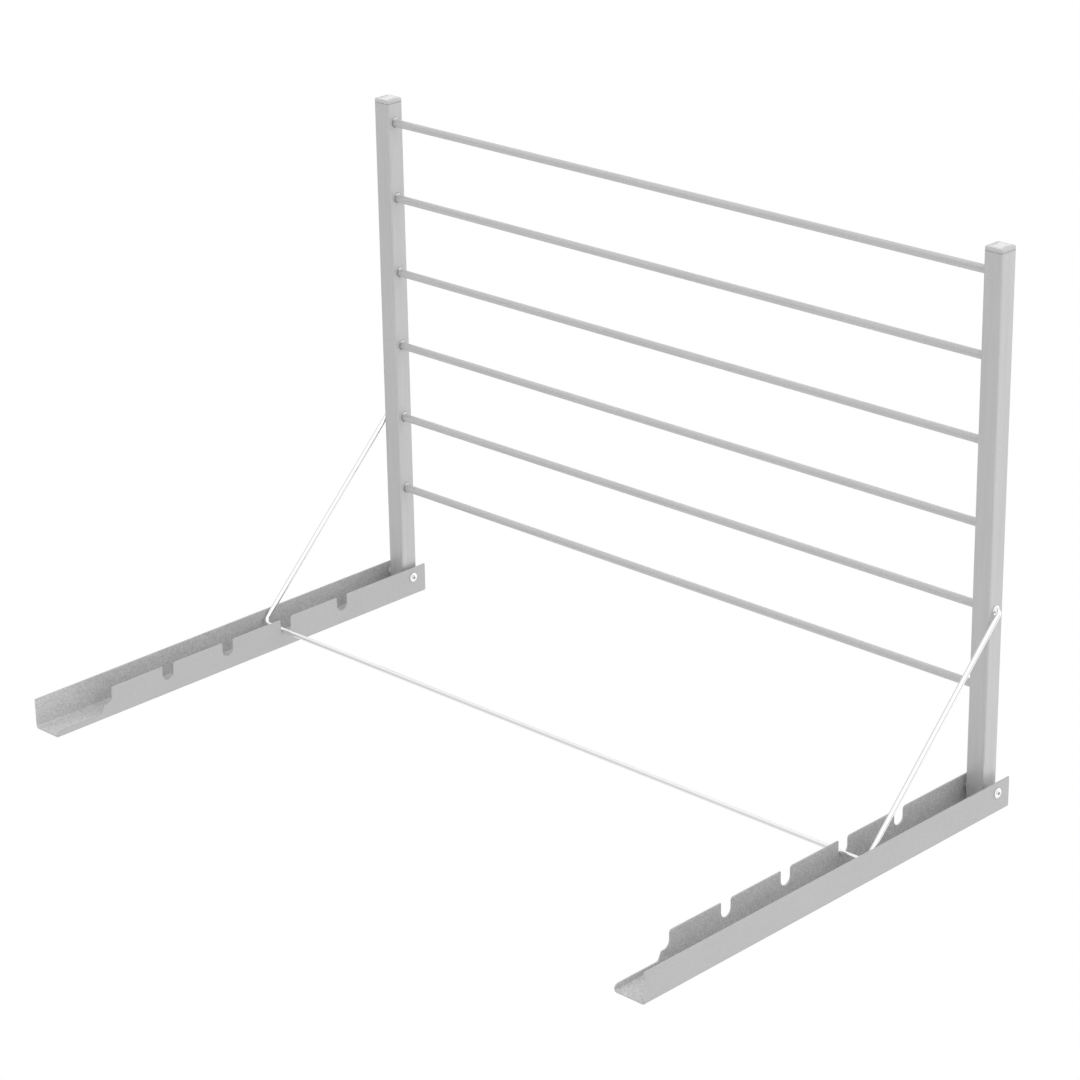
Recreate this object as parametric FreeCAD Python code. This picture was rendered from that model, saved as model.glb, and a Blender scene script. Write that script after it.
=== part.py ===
import FreeCAD, Part
import math
import os

# Wall mounted fold-down drying rack, in millimetres, as it hangs on the wall.
# X runs along the rods, +Z is up, and the wall is the plane y = 0 with the rack on its -Y side.
# The origin is on the wall, in the middle of the four fixing screws.
# The rack is drawn with its frame level and its stay set in the second notch of the rails.

# ---- driving dimensions ----

# wall rails: two U-channels of bent sheet, open away from the wall
overall_width = 815.0        # over the outer flanges of the two rails
rail_length = 504.0
rail_depth = 31.5            # from the wall to the edges of the flanges
sheet = 1.5                  # sheet thickness
rail_bend_radius = 3.0       # outside of the two bends
screw_spacing = 360.0        # up the rail, between its two fixing screws
screw_hole_diameter = 5.5

# hinge line
pin_from_wall = 20.5
pin_from_rail_top = 17.5
rivet_diameter = 6.0
rivet_head_diameter = 10.5
rivet_head_thickness = 1.8
rivet_dimple_diameter = 4.0  # left in the middle of each head by the riveting punch
rivet_dimple_depth = 0.8
spacer_diameter = 10.0
arm_inner_gap = 4.0          # between the arm and the rail's inner flange
running_clearance = 0.05     # radial, between parts that turn on each other
side_clearance = 0.1         # endways, between a spacer and the arm

# folding frame: two square tubes and six rods
arm_size = 20.0
arm_wall = 1.5
arm_corner_radius = 1.5
arm_reach = 527.0            # from the hinge line to the end of the cap
arm_heel = 14.0              # behind the hinge line
rod_count = 6
rod_diameter = 8.0
rod_wall = 1.0
rod_pitch = 80.0
first_rod_from_hinge = 102.0
rod_end_depth = 3.0          # how far a rod passes through the arm's inner wall
cap_head = 4.0
heel_plug_head = 2.0
plug_depth = 14.0
heel_plug_clearance = 1.0    # between the heel plug's shank and the rivet
plug_wall = 1.6
plug_clearance = 0.1
cap_edge_radius = 1.2

# stay: one bent wire
wire_diameter = 5.0
hook_radius = 4.0            # on the wire's centre line, at the arms
bush_flange = 0.5            # thickness of the bush's ring, between the hook and the arm
bush_flange_diameter = 9.6
bush_wall = 0.9
bush_length = 4.0
elbow_radius = 7.0           # on the wire's centre line, at the crossbar
hook_depth = 4.0             # how far the hook's end stands inside the arm's wall
leg_side_clearance = 1.0     # between the stay's leg and the rail's outer flange
stay_rod_index = 1           # the stay hangs on the line of the second rod from the hinge
stay_notch_index = 1         # and stands in the second notch from the hinge
rest_clearance = 0.1         # between the crossbar and the notch that it stands in
folded_clearance = 0.35      # over and under the crossbar when the rack is folded
fold_angle = 89.7            # from level to folded down

# notches in the inner flanges, which also let the rods in when the rack folds
notch_width = 14.2
notch_floor = 5.2            # below the hinge line, towards the wall
notch_offset = 2.4           # of a notch's middle from its rod, away from the hinge
notch_entry_radius = 3.0
full_notch_count = 4
ledge_length = 10.5          # of the last, open notch, from its wall
ledge_corner_radius = 1.5
lip_slope_run = 4.0
lip_corner_radius = 4.0
lip_end_radius = 4.5

# ---- worked out from the driving dimensions ----

hook_reach = bush_flange + hook_radius + wire_diameter / 2
rail_width = 2 * sheet + arm_inner_gap + arm_size + hook_reach + leg_side_clearance
rail_outer_x = overall_width / 2
rail_inner_x = rail_outer_x - rail_width
rail_mid_x = (rail_outer_x + rail_inner_x) / 2
arm_inner_x = rail_inner_x + sheet + arm_inner_gap
arm_outer_x = arm_inner_x + arm_size
arm_mid_x = (arm_inner_x + arm_outer_x) / 2
leg_x = arm_outer_x + bush_flange + hook_radius
pin_z = rail_length / 2 - pin_from_rail_top
rail_free_end = rail_length - pin_from_rail_top
flange_edge = rail_depth - pin_from_wall
rod_places = [first_rod_from_hinge + rod_pitch * i for i in range(rod_count)]
notch_radius = notch_width / 2
wire_radius = wire_diameter / 2
stay_pivot = rod_places[stay_rod_index]
cap_joint_at_tip = arm_reach - cap_head
cap_joint_at_heel = heel_plug_head - arm_heel
heel_plug_depth = -cap_joint_at_heel - rivet_diameter / 2 - heel_plug_clearance


def place(x, down, out):
    """A point x along the rods, down from the hinge line and out from it, away from the wall."""
    return FreeCAD.Vector(x, -pin_from_wall - out, pin_z - down)


def stay_at_rest():
    """Centre of the crossbar, pushed into the lower side of its notch by the stay itself."""
    middle = (rod_places[stay_notch_index] + notch_offset, notch_radius - notch_floor)
    offset = notch_radius - wire_radius - rest_clearance
    slope = -math.pi / 4
    for _ in range(20):
        bar = (middle[0] + offset * math.cos(slope), middle[1] + offset * math.sin(slope))
        slope = math.atan2(bar[1] - stay_pivot, bar[0])
    return bar


def stay_folded(length):
    """Centre of the crossbar with the rack folded: just behind the arms."""
    fold = math.radians(fold_angle)
    behind = arm_size / 2 + folded_clearance + wire_radius
    along = stay_pivot + math.sqrt(length ** 2 - behind ** 2)
    down = along * math.sin(fold) - behind * math.cos(fold)
    out = along * math.cos(fold) - behind * math.sin(fold)
    return down, out


bar_down, bar_out = stay_at_rest()
stay_length = math.hypot(bar_down, stay_pivot - bar_out)
folded_down, folded_out = stay_folded(stay_length)
lip_top = folded_out - wire_radius - folded_clearance


# ---- shape helpers ----

def rounded_path(corners, closed):
    """Wire through corners (point, radius), each corner rounded by its radius."""
    rounds = []
    for i, (point, radius) in enumerate(corners):
        if radius == 0:
            rounds.append((point, None, point))
            continue
        before = (corners[i - 1][0] - point).normalize()
        after = (corners[(i + 1) % len(corners)][0] - point).normalize()
        half = before.getAngle(after) / 2
        reach = radius / math.tan(half)
        middle = point + (before + after).normalize() * (radius / math.sin(half) - radius)
        rounds.append((point + before * reach, middle, point + after * reach))
    edges = []
    for i, (start, middle, end) in enumerate(rounds):
        if middle is not None:
            edges.append(Part.Arc(start, middle, end).toShape())
        if i + 1 == len(rounds) and not closed:
            break
        following = rounds[(i + 1) % len(rounds)][0]
        if end.distanceToPoint(following) > 1e-6:
            edges.append(Part.LineSegment(end, following).toShape())
    return Part.Wire(edges)


def prism(corners, direction):
    return Part.Face(rounded_path(corners, True)).extrude(direction)


def mirrored(shape):
    return shape.mirror(FreeCAD.Vector(0, 0, 0), FreeCAD.Vector(1, 0, 0))


def square_block(size, corner_radius, near, far, centre_x=arm_mid_x):
    """A square bar along the arm, from near to far out of the hinge line."""
    half = size / 2
    corners = [(place(centre_x + x * half, down * half, near), corner_radius)
               for x, down in ((-1, -1), (1, -1), (1, 1), (-1, 1))]
    return prism(corners, FreeCAD.Vector(0, -(far - near), 0))


# ---- wall rails ----

def channel():
    """The plain U-channel: web against the wall, flanges standing out from it."""
    bottom = -rail_length / 2
    inner_radius = rail_bend_radius - sheet
    outer = [(rail_inner_x, -rail_depth, 0), (rail_inner_x, 0, rail_bend_radius),
             (rail_outer_x, 0, rail_bend_radius), (rail_outer_x, -rail_depth, 0)]
    inner = [(rail_outer_x - sheet, -rail_depth, 0), (rail_outer_x - sheet, -sheet, inner_radius),
             (rail_inner_x + sheet, -sheet, inner_radius), (rail_inner_x + sheet, -rail_depth, 0)]
    section = [(FreeCAD.Vector(x, y, bottom), radius) for x, y, radius in outer + inner]
    return prism(section, FreeCAD.Vector(0, 0, rail_length))


def flange_cut(corners):
    """Tool that cuts an outline of (down, out, radius) corners from the inner flange only."""
    points = [(place(rail_inner_x - sheet, down, out), radius) for down, out, radius in corners]
    return prism(points, FreeCAD.Vector(3 * sheet, 0, 0))


def corner_cut(down, out, radius):
    """Tool that rounds the inner flange's corner at (down, out)."""
    centre_down = down - radius
    centre_out = out - radius
    over = radius + sheet
    block = flange_cut([(centre_down, centre_out, 0), (centre_down + over, centre_out, 0),
                        (centre_down + over, centre_out + over, 0), (centre_down, centre_out + over, 0)])
    centre = place(rail_inner_x - 2 * sheet, centre_down, centre_out)
    return block.cut(Part.makeCylinder(radius, 5 * sheet, centre, FreeCAD.Vector(1, 0, 0)))


def notch(rod_place):
    """A round-bottomed notch for a rod, its corner towards the hinge rounded to let the rod in."""
    wall = rod_place + notch_offset - notch_radius
    far_wall = wall + notch_width
    above = flange_edge + sheet
    slot = flange_cut([(wall, above, 0), (wall, -notch_floor, notch_radius),
                       (far_wall, -notch_floor, notch_radius), (far_wall, above, 0)])
    return slot.fuse(corner_cut(wall, flange_edge, notch_entry_radius))


def open_notch_and_lip():
    """The last notch is open: a wall, a short ledge, a slope and a low lip to the rail's end."""
    wall = rod_places[full_notch_count] + notch_offset - notch_radius
    ledge_end = wall + ledge_length
    above = flange_edge + sheet
    beyond = rail_free_end + sheet
    opening = flange_cut([(wall, above, 0), (wall, -notch_floor, notch_radius),
                          (ledge_end, -notch_floor, ledge_corner_radius),
                          (ledge_end + lip_slope_run, lip_top, lip_corner_radius),
                          (beyond, lip_top, 0), (beyond, above, 0)])
    opening = opening.fuse(corner_cut(wall, flange_edge, notch_entry_radius))
    return opening.fuse(corner_cut(rail_free_end, lip_top, lip_end_radius))


def cross_hole(x, length, down, out, diameter):
    """A drill along X, from x for length."""
    return Part.makeCylinder(diameter / 2, length, place(x, down, out), FreeCAD.Vector(1, 0, 0))


def wall_rail():
    rail = channel()
    for rod_place in rod_places[:full_notch_count]:
        rail = rail.cut(notch(rod_place))
    rail = rail.cut(open_notch_and_lip())
    rail = rail.cut(cross_hole(rail_inner_x - sheet, rail_width + 2 * sheet, 0, 0, rivet_diameter))
    for z in (-screw_spacing / 2, screw_spacing / 2):
        start = FreeCAD.Vector(rail_mid_x, sheet, z)
        drill = Part.makeCylinder(screw_hole_diameter / 2, 4 * sheet, start, FreeCAD.Vector(0, -1, 0))
        rail = rail.cut(drill)
    return rail


# ---- hinge: rivets and spacers ----

def rivet_head(face_x, outward):
    """A flat round head on a flange's face, its edge rounded and its middle dimpled."""
    direction = FreeCAD.Vector(outward, 0, 0)
    base = place(face_x, 0, 0)
    head = Part.makeCylinder(rivet_head_diameter / 2, rivet_head_thickness, base, direction)
    rim = [edge for edge in head.Edges
           if edge.Curve.TypeId == "Part::GeomCircle" and abs(edge.CenterOfMass.x - face_x) > 0.1]
    head = head.makeFillet(0.7 * rivet_head_thickness, rim)
    top = place(face_x + outward * rivet_head_thickness, 0, 0)
    dimple = Part.makeCone(rivet_dimple_diameter / 2, rivet_dimple_diameter / 4,
                           rivet_dimple_depth, top, -direction)
    return head.cut(dimple)


def pivot_rivet():
    shank = cross_hole(rail_inner_x, rail_width, 0, 0, rivet_diameter)
    heads = [rivet_head(rail_inner_x, -1), rivet_head(rail_outer_x, 1)]
    return shank.fuse(heads).removeSplitter()


def spacer(near_x, far_x):
    bore = rivet_diameter + 2 * running_clearance
    sleeve = cross_hole(near_x, far_x - near_x, 0, 0, spacer_diameter)
    return sleeve.cut(cross_hole(near_x, far_x - near_x, 0, 0, bore))


# ---- folding frame ----

def arm():
    tube = square_block(arm_size, arm_corner_radius, cap_joint_at_heel, cap_joint_at_tip)
    bore_size = arm_size - 2 * arm_wall
    bore_corner = arm_corner_radius - arm_wall
    tube = tube.cut(square_block(bore_size, bore_corner, cap_joint_at_heel, cap_joint_at_tip))
    hinge_bore = rivet_diameter + 2 * running_clearance
    tube = tube.cut(cross_hole(arm_inner_x, arm_size, 0, 0, hinge_bore))
    for rod_place in rod_places:
        tube = tube.cut(cross_hole(arm_inner_x, arm_wall, 0, rod_place, rod_diameter))
    bush_bore = wire_diameter + 2 * running_clearance + 2 * bush_wall
    return tube.cut(cross_hole(arm_outer_x - arm_wall, arm_wall, 0, stay_pivot, bush_bore))


def plug(joint, end, depth):
    """A square plug: its head closes the arm from joint to end, its hollow shank goes inside."""
    inward = 1 if joint > end else -1
    head = square_block(arm_size, arm_corner_radius, min(joint, end), max(joint, end))
    end_y = place(0, 0, end).y
    rim = [edge for edge in head.Edges
           if all(abs(vertex.Y - end_y) < 1e-6 for vertex in edge.Vertexes)]
    head = head.makeFillet(cap_edge_radius, rim)
    shank_size = arm_size - 2 * arm_wall - 2 * plug_clearance
    tip = joint + inward * depth
    shank = square_block(shank_size, arm_corner_radius, min(joint, tip), max(joint, tip))
    hollow_size = shank_size - 2 * plug_wall
    hollow = square_block(hollow_size, arm_corner_radius / 2, min(joint, tip), max(joint, tip))
    return head.fuse(shank.cut(hollow)).removeSplitter()


def rod(rod_place):
    end_x = arm_inner_x + arm_wall + rod_end_depth
    solid = cross_hole(-end_x, 2 * end_x, 0, rod_place, rod_diameter)
    bore_diameter = rod_diameter - 2 * rod_wall
    return solid.cut(cross_hole(-end_x, 2 * end_x, 0, rod_place, bore_diameter))


# ---- stay ----

def stay_bush():
    """An eyelet in the arm's outer wall, for the stay's hook to turn in."""
    bore = wire_diameter + 2 * running_clearance
    inside = arm_outer_x + bush_flange - bush_length
    barrel = cross_hole(inside, bush_length, 0, stay_pivot, bore + 2 * bush_wall)
    ring = cross_hole(arm_outer_x, bush_flange, 0, stay_pivot, bush_flange_diameter)
    return barrel.fuse(ring).cut(cross_hole(inside, bush_length, 0, stay_pivot, bore))


def stay():
    """One bent wire: from the right arm down to the crossbar, across, and up to the left arm."""
    hook_end_x = arm_outer_x - arm_wall - hook_depth
    half = [(hook_end_x, 0, stay_pivot, 0), (leg_x, 0, stay_pivot, hook_radius),
            (leg_x, bar_down, bar_out, elbow_radius)]
    other_half = [(-x, down, out, radius) for x, down, out, radius in reversed(half)]
    route = [(place(x, down, out), radius) for x, down, out, radius in half + other_half]
    start = route[0][0]
    section = Part.Wire(Part.makeCircle(wire_radius, start, FreeCAD.Vector(1, 0, 0)))
    return rounded_path(route, False).makePipeShell([section], True, False)


# ---- the rack's pieces ----

def write(node, shape):
    if not shape.isValid() or len(shape.Solids) != 1:
        raise ValueError(node + " is not one valid solid")
    shape.Solids[0].exportStep("parts/" + node + ".step")


def write_pair(name, shape):
    write(name + "_right", shape)
    write(name + "_left", mirrored(shape))


os.makedirs("parts", exist_ok=True)
write_pair("wall_rail", wall_rail())
write_pair("pivot_rivet", pivot_rivet())
write_pair("inner_spacer", spacer(rail_inner_x + sheet, arm_inner_x - side_clearance))
write_pair("outer_spacer", spacer(arm_outer_x + side_clearance, rail_outer_x - sheet))
write_pair("frame_arm", arm())
write_pair("end_cap", plug(cap_joint_at_tip, arm_reach, plug_depth))
write_pair("heel_plug", plug(cap_joint_at_heel, -arm_heel, heel_plug_depth))
write_pair("stay_bush", stay_bush())
for number, rod_place in enumerate(rod_places, 1):
    write("rod_%d" % number, rod(rod_place))
write("stay", stay())
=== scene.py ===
import math

import bmesh
import bpy
from mathutils import Matrix, Vector, noise


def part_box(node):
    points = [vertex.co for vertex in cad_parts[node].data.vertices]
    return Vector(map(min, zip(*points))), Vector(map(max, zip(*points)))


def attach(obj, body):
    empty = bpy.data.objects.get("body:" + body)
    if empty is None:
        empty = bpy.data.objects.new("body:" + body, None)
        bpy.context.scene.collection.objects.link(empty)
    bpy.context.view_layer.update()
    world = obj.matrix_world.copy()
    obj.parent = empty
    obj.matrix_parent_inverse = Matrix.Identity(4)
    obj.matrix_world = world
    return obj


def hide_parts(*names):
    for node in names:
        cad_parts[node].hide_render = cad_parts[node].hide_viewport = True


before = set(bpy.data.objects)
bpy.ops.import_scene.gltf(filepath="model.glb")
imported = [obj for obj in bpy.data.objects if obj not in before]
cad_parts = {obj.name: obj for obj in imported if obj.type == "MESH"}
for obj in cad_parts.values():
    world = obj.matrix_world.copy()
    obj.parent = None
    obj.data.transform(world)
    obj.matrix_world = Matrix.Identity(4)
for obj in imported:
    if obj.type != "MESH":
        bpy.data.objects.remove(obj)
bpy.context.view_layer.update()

# ---- wall rails ----
# Two U-channels folded from sheet steel, with the rod notches punched in the inner flange.
# They carry a silver-grey powder coat, which rounds every cut edge and has a fine grain
# that shows most inside the channel.

COATED_EDGE = 0.00028       # radius that the coating gives to a cut edge
SHARP_EDGE = math.radians(50)
FLAT_ANGLE = math.radians(0.5)          # faces that meet at less are one flat face
SAME_POINT = 2e-6           # points closer than this are one
RAIL_GREY = (0.470, 0.470, 0.475, 1)
CHANNEL_FILL_GREY = (0.560, 0.560, 0.565, 1) # painted lighter than the rail as fill light in the shaded channel; the powder also lies thinner and coarser there
EDGE_SHADE_GREY = (0.220, 0.220, 0.225, 1)    # painted shade along the sharp edges
INSIDE = 0.0012             # just less than the sheet's thickness
DRIFTS_PER_METRE = 14.0
PATCHES_PER_METRE = 160.0
MARKS_PER_METRE = 700.0     # across a tube
MARK_STRENGTH = 0.2
ROUGHNESS_SPREAD = 0.16
PATCH_CONTRAST, PATCH_START = 2.4, -0.4
EDGE_GAIN = 3.5             # how quickly the edge mask grows as the surface turns
EDGE_SHINE = -0.12          # change of roughness along the edges


def softened_copy(node, name, radius):
    """The node's own shape as one merged mesh, with its cut edges rounded."""
    shell = bmesh.new()
    shell.from_mesh(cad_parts[node].data)
    bmesh.ops.remove_doubles(shell, verts=shell.verts, dist=SAME_POINT)
    bmesh.ops.dissolve_limit(shell, angle_limit=FLAT_ANGLE,
                             verts=shell.verts, edges=shell.edges)
    cut_edges = [edge for edge in shell.edges
                 if len(edge.link_faces) == 2 and edge.calc_face_angle() > SHARP_EDGE]
    bmesh.ops.bevel(shell, geom=cut_edges, offset=radius, offset_type="OFFSET", affect="EDGES",
                    segments=3, profile=0.5, material=-1, clamp_overlap=True)
    bmesh.ops.recalc_face_normals(shell, faces=shell.faces)
    return finished_piece(shell, name, [node])


def finished_piece(shell, name, nodes):
    """A smooth-shaded object from a bmesh, standing for the given nodes."""
    mesh = bpy.data.meshes.new(name)
    shell.to_mesh(mesh)
    shell.free()
    mesh.shade_smooth()
    piece = bpy.data.objects.new(name, mesh)
    bpy.context.scene.collection.objects.link(piece)
    flats = piece.modifiers.new("flat_faces", "WEIGHTED_NORMAL")
    flats.keep_sharp = True
    if nodes:
        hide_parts(*nodes)
    return piece


def new_group(name, inputs, outputs):
    """A shader node group with those sockets, and its input and output nodes."""
    group = bpy.data.node_groups.new(name, "ShaderNodeTree")
    for label, kind, value in inputs:
        socket = group.interface.new_socket(label, in_out="INPUT", socket_type=kind)
        if value is not None:
            socket.default_value = value
    for label, kind in outputs:
        group.interface.new_socket(label, in_out="OUTPUT", socket_type=kind)
    return group, group.nodes.new("NodeGroupInput"), group.nodes.new("NodeGroupOutput")


def maths(tree, operation, first, second=None, third=None, clamp=False):
    """A Math node fed by sockets or numbers; returns its output."""
    node = tree.nodes.new("ShaderNodeMath")
    node.operation = operation
    node.use_clamp = clamp
    for socket, value in zip(node.inputs, (first, second, third)):
        if isinstance(value, bpy.types.NodeSocket):
            tree.links.new(value, socket)
        elif value is not None:
            socket.default_value = value
    return node.outputs[0]


# Powder grain: tiny rounded lumps that catch the light, cell by cell, and a slow drift
# in how thick the powder lies.
powder_grain, grain_in, grain_out = new_group(
    "powder_grain",
    [("Place", "NodeSocketVector", None), ("Colour", "NodeSocketColor", None),
     ("Grains per Metre", "NodeSocketFloat", 900.0), ("Speckle", "NodeSocketFloat", 0.1),
     ("Drift", "NodeSocketFloat", 0.04), ("Roughness", "NodeSocketFloat", 0.5)],
    [("Colour", "NodeSocketColor"), ("Roughness", "NodeSocketFloat"),
     ("Height", "NodeSocketFloat")])
lumps = powder_grain.nodes.new("ShaderNodeTexNoise")
lumps.inputs["Detail"].default_value = 2.0
flakes = powder_grain.nodes.new("ShaderNodeTexVoronoi")
drift = powder_grain.nodes.new("ShaderNodeTexNoise")
drift.inputs["Scale"].default_value = DRIFTS_PER_METRE
drift.inputs["Detail"].default_value = 3.0
for texture in (lumps, flakes, drift):
    powder_grain.links.new(grain_in.outputs["Place"], texture.inputs["Vector"])
powder_grain.links.new(grain_in.outputs["Grains per Metre"], lumps.inputs["Scale"])
powder_grain.links.new(grain_in.outputs["Grains per Metre"], flakes.inputs["Scale"])
flake_value = powder_grain.nodes.new("ShaderNodeSeparateColor")
powder_grain.links.new(flakes.outputs["Color"], flake_value.inputs["Color"])
speckle = maths(powder_grain, "MULTIPLY_ADD", flake_value.outputs["Red"], 1.0, -0.5)
speckle = maths(powder_grain, "MULTIPLY", speckle, grain_in.outputs["Speckle"])
slow = maths(powder_grain, "MULTIPLY_ADD", drift.outputs["Fac"], 2.0, -1.0)
slow = maths(powder_grain, "MULTIPLY", slow, grain_in.outputs["Drift"])
brightness = maths(powder_grain, "ADD", maths(powder_grain, "ADD", speckle, slow), 1.0)
tinted = powder_grain.nodes.new("ShaderNodeVectorMath")
tinted.operation = "SCALE"
powder_grain.links.new(grain_in.outputs["Colour"], tinted.inputs[0])
powder_grain.links.new(brightness, tinted.inputs["Scale"])
powder_grain.links.new(tinted.outputs[0], grain_out.inputs["Colour"])
rough = maths(powder_grain, "MULTIPLY_ADD", lumps.outputs["Fac"], ROUGHNESS_SPREAD,
              -ROUGHNESS_SPREAD / 2)
rough = maths(powder_grain, "ADD", rough, grain_in.outputs["Roughness"])
powder_grain.links.new(rough, grain_out.inputs["Roughness"])
powder_grain.links.new(lumps.outputs["Fac"], grain_out.inputs["Height"])

# Edge shade: a darker line painted along every sharp edge, as painted shade standing in for the
# darker reflection of the rounded edges. Noise breaks the line up.
painted_edge_shade, edge_in, edge_out = new_group(
    "painted_edge_shade",
    [("Place", "NodeSocketVector", None), ("Width", "NodeSocketFloat", 0.0006)],
    [("Mask", "NodeSocketFloat")])
rounded = painted_edge_shade.nodes.new("ShaderNodeBevel")
rounded.samples = 4
painted_edge_shade.links.new(edge_in.outputs["Width"], rounded.inputs["Radius"])
surface = painted_edge_shade.nodes.new("ShaderNodeNewGeometry")
agreement = painted_edge_shade.nodes.new("ShaderNodeVectorMath")
agreement.operation = "DOT_PRODUCT"
painted_edge_shade.links.new(rounded.outputs["Normal"], agreement.inputs[0])
painted_edge_shade.links.new(surface.outputs["Normal"], agreement.inputs[1])
bent = maths(painted_edge_shade, "SUBTRACT", 1.0, agreement.outputs["Value"])
patches = painted_edge_shade.nodes.new("ShaderNodeTexNoise")
patches.inputs["Scale"].default_value = PATCHES_PER_METRE
patches.inputs["Detail"].default_value = 4.0
painted_edge_shade.links.new(edge_in.outputs["Place"], patches.inputs["Vector"])
broken = maths(painted_edge_shade, "MULTIPLY_ADD", patches.outputs["Fac"], PATCH_CONTRAST, PATCH_START,
               clamp=True)
mask = maths(painted_edge_shade, "MULTIPLY", maths(painted_edge_shade, "MULTIPLY", bent, EDGE_GAIN), broken,
             clamp=True)
painted_edge_shade.links.new(mask, edge_out.inputs["Mask"])

# Draw marks: faint lines along a tube, left by the mill that rolled it.
draw_marks, marks_in, marks_out = new_group(
    "draw_marks",
    [("Place", "NodeSocketVector", None), ("Along", "NodeSocketVector", (1, 0.01, 1)),
     ("Strength", "NodeSocketFloat", 0.1)],
    [("Brightness", "NodeSocketFloat")])
stretched = draw_marks.nodes.new("ShaderNodeVectorMath")
stretched.operation = "MULTIPLY"
draw_marks.links.new(marks_in.outputs["Place"], stretched.inputs[0])
draw_marks.links.new(marks_in.outputs["Along"], stretched.inputs[1])
lines = draw_marks.nodes.new("ShaderNodeTexNoise")
lines.inputs["Scale"].default_value = MARKS_PER_METRE
lines.inputs["Detail"].default_value = 3.0
draw_marks.links.new(stretched.outputs[0], lines.inputs["Vector"])
uneven = maths(draw_marks, "SUBTRACT", lines.outputs["Fac"], 0.5)
uneven = maths(draw_marks, "MULTIPLY_ADD", uneven, marks_in.outputs["Strength"], 1.0)
draw_marks.links.new(uneven, marks_out.inputs["Brightness"])


def group_node(material, group, **values):
    """Places a node group in a material, with its own values."""
    node = material.node_tree.nodes.new("ShaderNodeGroup")
    node.node_tree = group
    for label, value in values.items():
        node.inputs[label.replace("_", " ")].default_value = value
    return node


def grained_material(name, colour, roughness, grains, speckle, drift, bump, height):
    """A material with the powder grain in its colour, roughness and surface. Returns it with
    its grain node and its Object coordinates."""
    material = bpy.data.materials.new(name)
    material.use_nodes = True
    tree = material.node_tree
    shader = tree.nodes["Principled BSDF"]
    place = tree.nodes.new("ShaderNodeTexCoord").outputs["Object"]
    grain = group_node(material, powder_grain, Colour=colour, Grains_per_Metre=grains,
                       Speckle=speckle, Drift=drift, Roughness=roughness)
    tree.links.new(place, grain.inputs["Place"])
    tree.links.new(grain.outputs["Colour"], shader.inputs["Base Color"])
    tree.links.new(grain.outputs["Roughness"], shader.inputs["Roughness"])
    lumpy = tree.nodes.new("ShaderNodeBump")
    lumpy.inputs["Strength"].default_value = bump
    lumpy.inputs["Distance"].default_value = height
    tree.links.new(grain.outputs["Height"], lumpy.inputs["Height"])
    tree.links.new(lumpy.outputs["Normal"], shader.inputs["Normal"])
    return material, grain, place


def powder_coat(name, colour, grains, speckle, roughness, metallic, bump, edge_shade=0.5,
                edge=0.0006, along=None):
    """Silver powder coat: grey binder with metal flake, finely lumpy, with painted shade along
    its edges.
    A tube's coat also shows its draw marks, with along as their stretch."""
    material, grain, place = grained_material(name, colour, roughness, grains, speckle,
                                              drift=0.04, bump=bump, height=0.0003)
    tree = material.node_tree
    shader = tree.nodes["Principled BSDF"]
    shader.inputs["Metallic"].default_value = metallic
    colour_out = grain.outputs["Colour"]
    if along:
        drawn = group_node(material, draw_marks, Along=along, Strength=MARK_STRENGTH)
        tree.links.new(place, drawn.inputs["Place"])
        streaked = tree.nodes.new("ShaderNodeVectorMath")
        streaked.operation = "SCALE"
        tree.links.new(colour_out, streaked.inputs[0])
        tree.links.new(drawn.outputs["Brightness"], streaked.inputs["Scale"])
        colour_out = streaked.outputs[0]
    edges = group_node(material, painted_edge_shade, Width=edge)
    tree.links.new(place, edges.inputs["Place"])
    # Painted shade: the edge mask darkens the colour along every edge.
    darker = tree.nodes.new("ShaderNodeMix")
    darker.data_type = "RGBA"
    factor, full_coat, edge_shade_colour = darker.inputs[0], darker.inputs[6], darker.inputs[7]
    tree.links.new(maths(tree, "MULTIPLY", edges.outputs["Mask"], edge_shade), factor)
    tree.links.new(colour_out, full_coat)
    edge_shade_colour.default_value = EDGE_SHADE_GREY
    tree.links.new(darker.outputs[2], shader.inputs["Base Color"])
    tree.links.new(maths(tree, "MULTIPLY_ADD", edges.outputs["Mask"], EDGE_SHINE,
                         grain.outputs["Roughness"]), shader.inputs["Roughness"])
    return material


def inside_channel(face, low, high):
    """Whether a face lies on the inner side of the channel."""
    middle = face.center
    return low.x + INSIDE < middle.x < high.x - INSIDE and middle.y < high.y - INSIDE


rail_coat = powder_coat("rail_coat", RAIL_GREY, grains=900.0, speckle=0.08,
                        roughness=0.50, metallic=0.15, bump=0.22)
# Inside the channel the coat is painted lighter, as fill light where the channel lies in shade;
# its coarser grain is the powder's own.
channel_coat_painted_fill = powder_coat("channel_coat_painted_fill", CHANNEL_FILL_GREY, grains=720.0, speckle=0.30,
                           roughness=0.60, metallic=0.10, bump=0.50)
for side in ("left", "right"):
    rail = softened_copy("wall_rail_" + side, "coated_rail_" + side, COATED_EDGE)
    rail.data.materials.append(rail_coat)
    rail.data.materials.append(channel_coat_painted_fill)
    low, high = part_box("wall_rail_" + side)
    for face in rail.data.polygons:
        face.material_index = int(inside_channel(face, low, high))
    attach(rail, "wall_rails")

# ---- folding frame: arms and rods ----
# Two square steel tubes and six round ones, welded into one frame and coated together.
# The square tube is smoother than the rails, and its corners are drawn to a small radius.

TUBE_GREY = (0.527, 0.527, 0.534, 1)
ROD_GREY = (0.530, 0.530, 0.535, 1)
SAWN_EDGE = 0.00018         # radius that the coating gives to a sawn tube end
MARK_STRETCH = 0.012        # across a draw mark against along it

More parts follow.
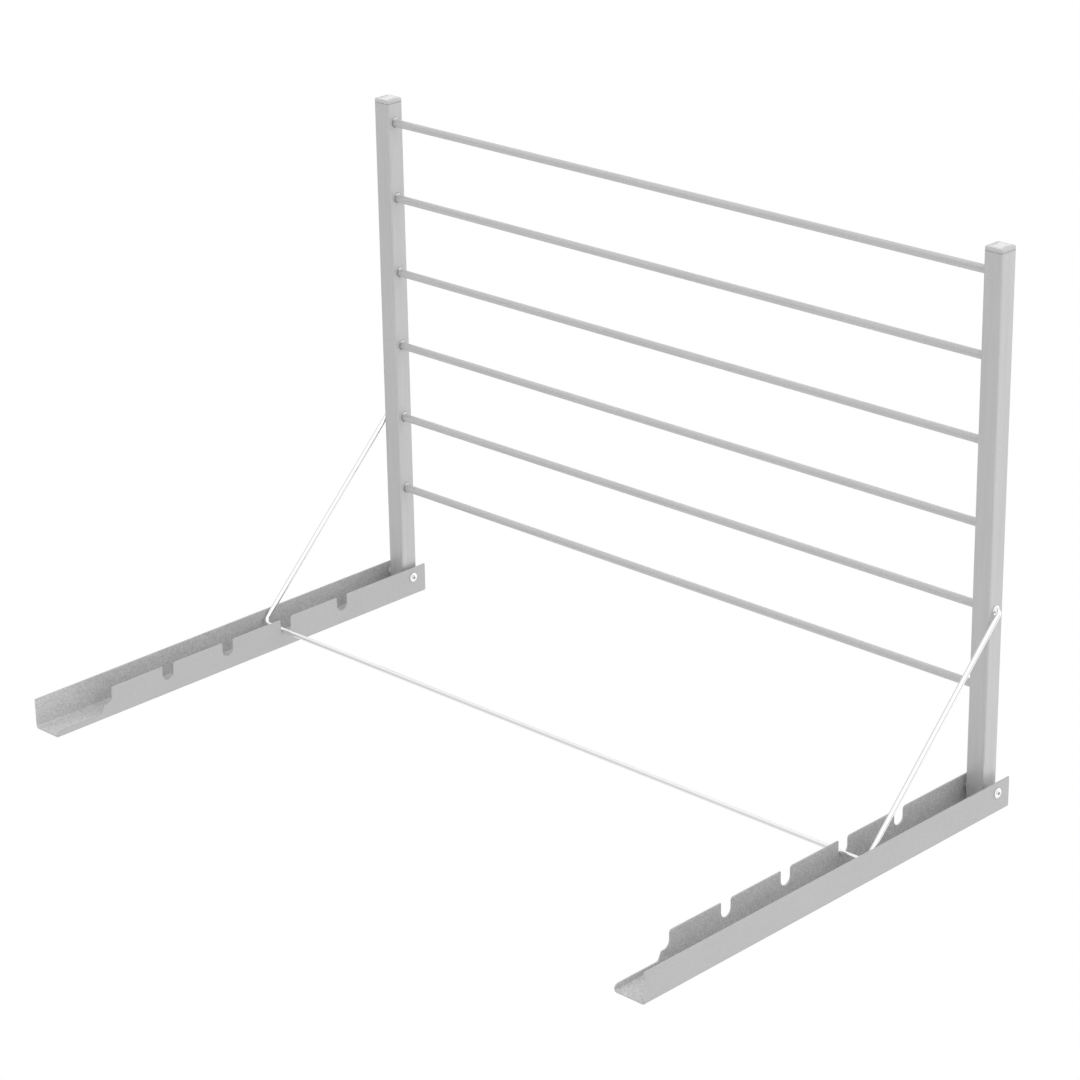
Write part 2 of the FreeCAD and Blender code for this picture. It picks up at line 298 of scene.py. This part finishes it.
arm_coat = powder_coat("arm_coat", TUBE_GREY, grains=1500.0, speckle=0.05, roughness=0.38,
                       metallic=0.25, bump=0.12, edge_shade=0.8, edge=0.0018,
                       along=(1, MARK_STRETCH, 1))
for side in ("left", "right"):
    arm = softened_copy("frame_arm_" + side, "coated_arm_" + side, SAWN_EDGE)
    arm.data.materials.append(arm_coat)
    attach(arm, "frame")

rod_coat = powder_coat("rod_coat", ROD_GREY, grains=1500.0, speckle=0.05, roughness=0.34,
                       metallic=0.25, bump=0.10, along=(MARK_STRETCH, 1, 1))
rod_names = ["rod_%d" % number for number in range(1, 7)]
for name in rod_names:
    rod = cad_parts[name]
    for index in range(len(rod.data.materials)):
        rod.data.materials[index] = rod_coat

# ---- rod welds ----
# Each rod goes through a hole in the arm's inner wall and is held by a small fillet of weld
# with a heavier tack on its outer side. The coat lies over it, so it looks like a soft lump.

WELD_REACH = 0.0011         # along the rod, out of the arm's face
WELD_WIDTH = 0.0009         # on the arm's face, out from the rod
WELD_ROOT = 0.0004          # into the arm's wall
WELD_SINK = 0.0001          # into the rod
TACK_GROWTH = 2.1           # how much larger the tack is than the rest of the fillet
TACK_RISE = 0.6             # how much of that growth also goes along the rod
TACK_SPREAD = math.radians(38)
LUMPS_PER_METRE = 900
LUMP_SIZE = 0.5             # as a share of the fillet
# The tack is painted lighter as a highlight, and the rest of the fillet darker as shade.
TACK_HIGHLIGHT_GREY = (0.660, 0.660, 0.665, 1)
WELD_SHADE_GREY = (0.270, 0.270, 0.275, 1)    # painted shade on the rest of the fillet


def weld(name, face_x, inward, centre, rod_radius, seed):
    """A fillet round a rod that runs along X, lying on the arm's face at face_x."""
    fillet = bmesh.new()
    # each point: along the rod as a share of the reach, out from it as a share of the width
    profile = [(-WELD_ROOT / WELD_REACH, 0), (0, 1), (0.25, 0.72), (0.55, 0.40), (1, 0.12),
               (1.05, -WELD_SINK / WELD_WIDTH)]
    rim = []
    for along, out in profile:
        radius = rod_radius - WELD_SINK + out * WELD_WIDTH
        rim.append(fillet.verts.new((face_x + inward * along * WELD_REACH, 0, radius)))
    edges = [fillet.edges.new((rim[i], rim[(i + 1) % len(rim)])) for i in range(len(rim))]
    bmesh.ops.spin(fillet, geom=rim + edges, cent=(0, 0, 0), axis=(1, 0, 0),
                   angle=math.tau, steps=48, use_merge=True)
    bmesh.ops.remove_doubles(fillet, verts=fillet.verts, dist=SAME_POINT)
    for vert in fillet.verts:
        radial = Vector((0, vert.co.y, vert.co.z))
        if radial.length < rod_radius + WELD_SINK / 2 or (vert.co.x - face_x) * inward < 0:
            continue
        angle = math.atan2(vert.co.z, -vert.co.y)
        tack = math.exp(-(angle / TACK_SPREAD) ** 2) * TACK_GROWTH
        uneven = noise.noise(vert.co * LUMPS_PER_METRE + Vector((seed, 0, 0)))
        lump = 1 + tack + LUMP_SIZE * uneven
        grown = radial.normalized() * ((radial.length - rod_radius) * lump + rod_radius)
        vert.co.y, vert.co.z = grown.y, grown.z
        vert.co.x = face_x + (vert.co.x - face_x) * (1 + TACK_RISE * tack)
    # Faces near the tack take the painted highlight, and the rest take the painted shade.
    for face in fillet.faces:
        middle = face.calc_center_median()
        face.material_index = int(abs(math.atan2(middle.z, -middle.y)) > TACK_SPREAD)
    bmesh.ops.translate(fillet, verts=fillet.verts, vec=(0, centre.y, centre.z))
    bmesh.ops.recalc_face_normals(fillet, faces=fillet.faces)
    return finished_piece(fillet, name, [])


tack_painted_highlight = powder_coat("tack_painted_highlight", TACK_HIGHLIGHT_GREY, grains=1100.0, speckle=0.14, roughness=0.32,
                        metallic=0.3, bump=0.4)
weld_painted_shade = powder_coat("weld_painted_shade", WELD_SHADE_GREY, grains=1100.0, speckle=0.30, roughness=0.50,
                        metallic=0.3, bump=0.6)
for number, rod_name in enumerate(rod_names, 1):
    low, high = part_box(rod_name)
    centre, radius = (low + high) / 2, (high.z - low.z) / 2
    for side, inward in (("left", 1), ("right", -1)):
        low_arm, high_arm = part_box("frame_arm_" + side)
        face_x = high_arm.x if side == "left" else low_arm.x
        bead = weld("weld_%d_%s" % (number, side), face_x, inward, centre, radius,
                    number * 3.7 + inward)
        bead.data.materials.append(tack_painted_highlight)
        bead.data.materials.append(weld_painted_shade)
        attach(bead, "frame")

# ---- tube plugs ----
# A moulded plastic plug closes each end of both arms. Its head is as wide as the tube, with a
# rounded edge, a fine groove and a smooth panel that is a little dished. A hollow square shank
# holds it in the tube.

PLUG_GREY = (0.535, 0.535, 0.540, 1)
PANEL_HIGHLIGHT_GREY = (0.700, 0.700, 0.705, 1)   # the smoother panel in the middle of the head, painted lighter as a highlight on its top
TUBE_CORNER = 0.0015
TUBE_WALL = 0.0015
PLUG_FIT = 0.0001
PLUG_WALL = 0.0016
HEAD_ROUNDING = 0.0011
ROUNDING_STEPS = 5
HEAD_FLOOR = 0.001          # left above the hollow of the shank
SEAM = 0.00025              # groove between the head and the tube
GROOVE = ((0.0004, 0.0), (0.00015, -0.0003), (0.0002, 0.0), (0.00015, 0.0003))  # steps in, up
GROOVED_RIM = 0.0009        # the rim and the groove, added up
PANEL_DISH = (0.0030, -0.0001)
TOP_BAND = 0.0002           # faces this near to the top belong to it


def tube_plug(node, name, joint_y, outward):
    """A plug in an arm that runs along Y, its head outward from joint_y."""
    low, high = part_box(node)
    width = high.x - low.x
    head_end = low.y if outward < 0 else high.y
    shank_end = high.y if outward < 0 else low.y
    shell = bmesh.new()
    outline = bmesh.ops.create_grid(shell, x_segments=1, y_segments=1, size=width / 2)["verts"]
    bmesh.ops.bevel(shell, geom=outline, offset=TUBE_CORNER, offset_type="OFFSET",
                    affect="VERTICES", segments=6, profile=0.5, material=-1)
    bmesh.ops.rotate(shell, verts=shell.verts, cent=(0, 0, 0),
                     matrix=Matrix.Rotation(math.radians(90) * -outward, 3, "X"))

    def raised(face, narrower, rise):
        """The face extruded along Y by rise, and made narrower by that much all round."""
        made = bmesh.ops.extrude_discrete_faces(shell, faces=[face])["faces"][0]
        across = max(vert.co.x for vert in made.verts)
        share = (across - narrower) / across
        bmesh.ops.scale(shell, verts=made.verts, vec=(share, 1, share))
        bmesh.ops.translate(shell, verts=made.verts, vec=(0, rise * outward, 0))
        return made

    head_height = abs(head_end - joint_y) - SEAM
    shank = abs(shank_end - joint_y) + SEAM
    top = shell.faces[:][0]
    copied = bmesh.ops.duplicate(shell, geom=[top])["geom"]
    under = [item for item in copied if isinstance(item, bmesh.types.BMFace)][0]
    top = raised(top, 0, head_height - HEAD_ROUNDING)
    step = math.radians(90 / ROUNDING_STEPS)
    for index in range(ROUNDING_STEPS):
        before, turn = step * index, step * (index + 1)
        top = raised(top, HEAD_ROUNDING * (math.cos(before) - math.cos(turn)),
                     HEAD_ROUNDING * (math.sin(turn) - math.sin(before)))
    for narrower, rise in (*GROOVE, PANEL_DISH):
        top = raised(top, narrower, rise)
    for narrower, rise in ((TUBE_WALL + PLUG_FIT, 0.0), (0.0, -shank), (PLUG_WALL, 0.0),
                           (0.0, shank - HEAD_FLOOR)):
        under = raised(under, narrower, rise)
    bmesh.ops.remove_doubles(shell, verts=shell.verts, dist=SAME_POINT)
    panel_reach = width / 2 - HEAD_ROUNDING - GROOVED_RIM
    # The panel's faces take the lighter plastic: a painted highlight on the top of the head.
    for face in shell.faces:
        height = face.calc_center_median().y * outward
        is_top = height > head_height - TOP_BAND and abs(face.normal.y) > 0.9
        reach = max(abs(vert.co.x) for vert in face.verts)
        face.material_index = int(is_top and reach < panel_reach)
    centre = (low + high) / 2
    bmesh.ops.translate(shell, verts=shell.verts,
                        vec=(centre.x, joint_y + outward * SEAM, centre.z))
    bmesh.ops.recalc_face_normals(shell, faces=shell.faces)
    return finished_piece(shell, name, [node])


def moulded_plastic(name, colour, roughness):
    """Smooth moulded plastic with a faint mottle and a fine grain."""
    return grained_material(name, colour, roughness, grains=2400.0, speckle=0.03, drift=0.05,
                            bump=0.12, height=0.0002)[0]


plug_plastic = moulded_plastic("plug_plastic", PLUG_GREY, 0.42)
# The panel is painted lighter than the rest of the plug, as a highlight; its lower roughness is
# its own.
panel_plastic_painted_highlight = moulded_plastic("panel_plastic_painted_highlight", PANEL_HIGHLIGHT_GREY, 0.25)
for side in ("left", "right"):
    low_arm, high_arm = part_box("frame_arm_" + side)
    for kind, joint_y, outward in (("end_cap_", low_arm.y, -1), ("heel_plug_", high_arm.y, 1)):
        plug = tube_plug(kind + side, "moulded_" + kind + side, joint_y, outward)
        plug.data.materials.append(plug_plastic)
        plug.data.materials.append(panel_plastic_painted_highlight)
        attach(plug, "frame")

# ---- hinge ----
# Each arm turns on a bright plated rivet through both flanges. Its ends are set into low
# round heads with a dimple from the punch, and a nylon sleeve on each side spaces the arm.

DIMPLE = 0.0019             # radii, as for all turned pieces
DIMPLE_BOTTOM = 0.75        # the part of the dimple painted darker as shade
RIVET_SHANK = 0.003
TURNING_GAP = 0.00005       # between a sleeve and the rivet
CHAMFER = 0.0004
ZINC = (0.860, 0.860, 0.870, 1)
DIMPLE_SHADE_GREY = (0.300, 0.300, 0.300, 1)
NYLON_WHITE = (0.800, 0.800, 0.780, 1)


def turned(name, nodes, profile, centre, steps=64, closed=True):
    """An outline of (x, radius) points turned about the X axis through centre. An outline
    that isn't closed starts and ends on the axis."""
    lathe = bmesh.new()
    rim = [lathe.verts.new((x, 0, radius)) for x, radius in profile]
    edges = [lathe.edges.new((rim[i - 1], rim[i])) for i in range(0 if closed else 1, len(rim))]
    bmesh.ops.spin(lathe, geom=rim + edges, cent=(0, 0, 0), axis=(1, 0, 0),
                   angle=math.tau, steps=steps, use_merge=True)
    bmesh.ops.remove_doubles(lathe, verts=lathe.verts, dist=SAME_POINT)
    bmesh.ops.translate(lathe, verts=lathe.verts, vec=(0, centre.y, centre.z))
    bmesh.ops.recalc_face_normals(lathe, faces=lathe.faces)
    return finished_piece(lathe, name, nodes)


def plated_steel(name, colour, roughness, cloud):
    """Bright zinc plate: metal with a faint cloudiness and a very fine grain."""
    material = grained_material(name, colour, roughness, grains=1800.0, speckle=0.04,
                                drift=cloud, bump=0.03, height=0.0002)[0]
    material.node_tree.nodes["Principled BSDF"].inputs["Metallic"].default_value = 1.0
    return material


rivet_zinc = plated_steel("rivet_zinc", ZINC, 0.24, 0.05)
# The floor of each dimple is painted darker, as shade in the hollow.
dimple_painted_shade = plated_steel("dimple_painted_shade", DIMPLE_SHADE_GREY, 0.40, 0.10)
for side in ("left", "right"):
    low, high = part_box("pivot_rivet_" + side)
    low_rail, high_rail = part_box("wall_rail_" + side)
    centre, head = (low + high) / 2, (high.z - low.z) / 2
    # each point: out of the rail as a share of the head's rise, and out from the axis
    outline = [(0, RIVET_SHANK), (0, head - 0.0004), (0.10, head - 0.0001), (0.25, head),
               (0.45, head - 0.0002), (0.66, head - 0.0007), (0.85, head - 0.0014),
               (0.96, head - 0.0021), (1, head - 0.0028), (1, DIMPLE + 0.0002),
               (0.97, DIMPLE), (0.85, DIMPLE * 0.84), (0.65, DIMPLE * 0.62),
               (0.57, DIMPLE * 0.45), (0.55, 0)]
    left_end, right_end = [
        [(face + share * (end - face), radius) for share, radius in outline]
        for face, end in ((low_rail.x, low.x), (high_rail.x, high.x))]
    rivet = turned("set_rivet_" + side, ["pivot_rivet_" + side],
                   left_end[::-1] + right_end, centre, closed=False)
    rivet.data.materials.append(rivet_zinc)
    rivet.data.materials.append(dimple_painted_shade)
    # Faces near the axis, in the dimple's floor, take the painted shade.
    for face in rivet.data.polygons:
        from_axis = math.hypot(face.center.y - centre.y, face.center.z - centre.z)
        face.material_index = int(from_axis < DIMPLE * DIMPLE_BOTTOM)
    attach(rivet, "wall_rails")

nylon = moulded_plastic("spacer_nylon", NYLON_WHITE, 0.38)
bore = RIVET_SHANK + TURNING_GAP
for name in ("inner_spacer", "outer_spacer"):
    for side in ("left", "right"):
        low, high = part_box(name + "_" + side)
        centre, outer = (low + high) / 2, (high.z - low.z) / 2
        # each point: in from the sleeve's end, and out from the axis
        end = [(CHAMFER / 2, bore), (0, bore + CHAMFER / 2), (0, outer - CHAMFER),
               (CHAMFER / 3, outer - CHAMFER / 3), (CHAMFER, outer)]
        profile = [(low.x + inset, radius) for inset, radius in end]
        profile += [(high.x - inset, radius) for inset, radius in reversed(end)]
        sleeve = turned("nylon_%s_%s" % (name, side), [name + "_" + side], profile, centre)
        sleeve.data.materials.append(nylon)
        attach(sleeve, "wall_rails")

# ---- stay eyelets ----
# A plated eyelet is rolled into each arm's outer wall, and the stay's hook turns in it.
# Its ring stands on the tube and its barrel reaches inside.

EYELET_ZINC = (0.930, 0.930, 0.940, 1)
EYELET_BORE = 0.00255
EYELET_WALL = 0.0009

bush_zinc = plated_steel("eyelet_zinc", EYELET_ZINC, 0.22, 0.03)
for side, outward in (("left", -1), ("right", 1)):
    low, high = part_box("stay_bush_" + side)
    low_arm, high_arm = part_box("frame_arm_" + side)
    face = high_arm.x if outward > 0 else low_arm.x
    top = high.x if outward > 0 else low.x
    inside = low.x if outward > 0 else high.x
    centre, ring = (low + high) / 2, (high.z - low.z) / 2
    rise = top - face
    eyelet = turned("rolled_eyelet_" + side, ["stay_bush_" + side], [
        (inside, EYELET_BORE), (inside, EYELET_BORE + EYELET_WALL),
        (face, EYELET_BORE + EYELET_WALL), (face, ring - 0.0002), (face + 0.4 * rise, ring),
        (face + 0.75 * rise, ring - 0.0002), (top, ring - 0.0006), (top, EYELET_BORE + 0.0007),
        (top - 0.3 * rise, EYELET_BORE + 0.0002), (face, EYELET_BORE)], centre)
    eyelet.data.materials.append(bush_zinc)
    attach(eyelet, "frame")

# ---- stay ----
# One length of bright plated wire, bent into a wide U. Its ends are hooked into the eyelets,
# and its crossbar stands in the rails' notches.

WIRE_ZINC = (0.900, 0.900, 0.910, 1)

stay_zinc = plated_steel("stay_zinc", WIRE_ZINC, 0.12, 0.03)
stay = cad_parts["stay"]
for index in range(len(stay.data.materials)):
    stay.data.materials[index] = stay_zinc

# ---- studio ----
# A pale floor well below the rack, and soft white light from every side, stronger from the
# front and the right. A dim panel and a bright one give the plated wire its dark and light
# lines, and the metal doesn't mirror the floor.

FLOOR_DEPTH = 2.6
FLOOR_REACH = 30
STRONGER_SIDE = (0.74, -0.60, 0.30)
AROUND, STRONGER = 1.03, 0.50           # the light all round, and what that side adds
# each panel: where it stands, where it starts and is full, in degrees, and its brightness
PANELS = (((0.95, 0.02, 0.31), 34, 12, 0.5), ((-0.62, 0.74, -0.25), 45, 20, 1.6))

floor_mesh = bmesh.new()
bmesh.ops.create_grid(floor_mesh, x_segments=1, y_segments=1, size=FLOOR_REACH)
bmesh.ops.translate(floor_mesh, verts=floor_mesh.verts, vec=(0, 0, -FLOOR_DEPTH))
mesh = bpy.data.meshes.new("studio_floor")
floor_mesh.to_mesh(mesh)
floor_mesh.free()
floor = bpy.data.objects.new("studio_floor", mesh)
bpy.context.scene.collection.objects.link(floor)
paper = bpy.data.materials.new("floor_paper")
paper.use_nodes = True
paper_shader = paper.node_tree.nodes["Principled BSDF"]
paper_shader.inputs["Base Color"].default_value = (0.86, 0.86, 0.86, 1)
paper_shader.inputs["Roughness"].default_value = 0.9
floor.data.materials.append(paper)
floor.visible_glossy = False

world = bpy.data.worlds.new("studio_light")
world.use_nodes = True
sky = world.node_tree
background = sky.nodes["Background"]
direction = sky.nodes.new("ShaderNodeTexCoord").outputs["Generated"]


def facing(place):
    """How nearly a direction of the sky points to a place: the cosine of the angle."""
    product = sky.nodes.new("ShaderNodeVectorMath")
    product.operation = "DOT_PRODUCT"
    sky.links.new(direction, product.inputs[0])
    product.inputs[1].default_value = Vector(place).normalized()
    return product.outputs["Value"]


lit = maths(sky, "MULTIPLY_ADD", facing(STRONGER_SIDE), STRONGER, AROUND)
for place, outer, inner, brighter in PANELS:
    panel = sky.nodes.new("ShaderNodeMapRange")
    panel.interpolation_type = "SMOOTHSTEP"
    sky.links.new(facing(place), panel.inputs["Value"])
    panel.inputs["From Min"].default_value = math.cos(math.radians(outer))
    panel.inputs["From Max"].default_value = math.cos(math.radians(inner))
    panel.inputs["To Min"].default_value = 1.0
    panel.inputs["To Max"].default_value = brighter
    lit = maths(sky, "MULTIPLY", lit, panel.outputs["Result"])
seen = sky.nodes.new("ShaderNodeLightPath").outputs["Is Camera Ray"]
strength = sky.nodes.new("ShaderNodeMix")
sky.links.new(seen, strength.inputs[0])
sky.links.new(lit, strength.inputs[2])
strength.inputs[3].default_value = 1.0
sky.links.new(strength.outputs[0], background.inputs["Strength"])
background.inputs["Color"].default_value = (1, 1, 1, 1)
bpy.context.scene.world = world
bpy.context.scene.view_settings.view_transform = "Standard"

camera_data = bpy.data.cameras.new("camera")
camera_data.sensor_width = 36.0
camera_data.lens = 114.531
camera_data.clip_start, camera_data.clip_end = 0.05, 60
camera = bpy.data.objects.new("camera", camera_data)
camera.location = (2.11036, -1.44067, -2.11419)
camera.rotation_euler = [math.radians(angle) for angle in (157.188, -43.9442, 1.1809)]
bpy.context.scene.collection.objects.link(camera)
bpy.context.scene.camera = camera
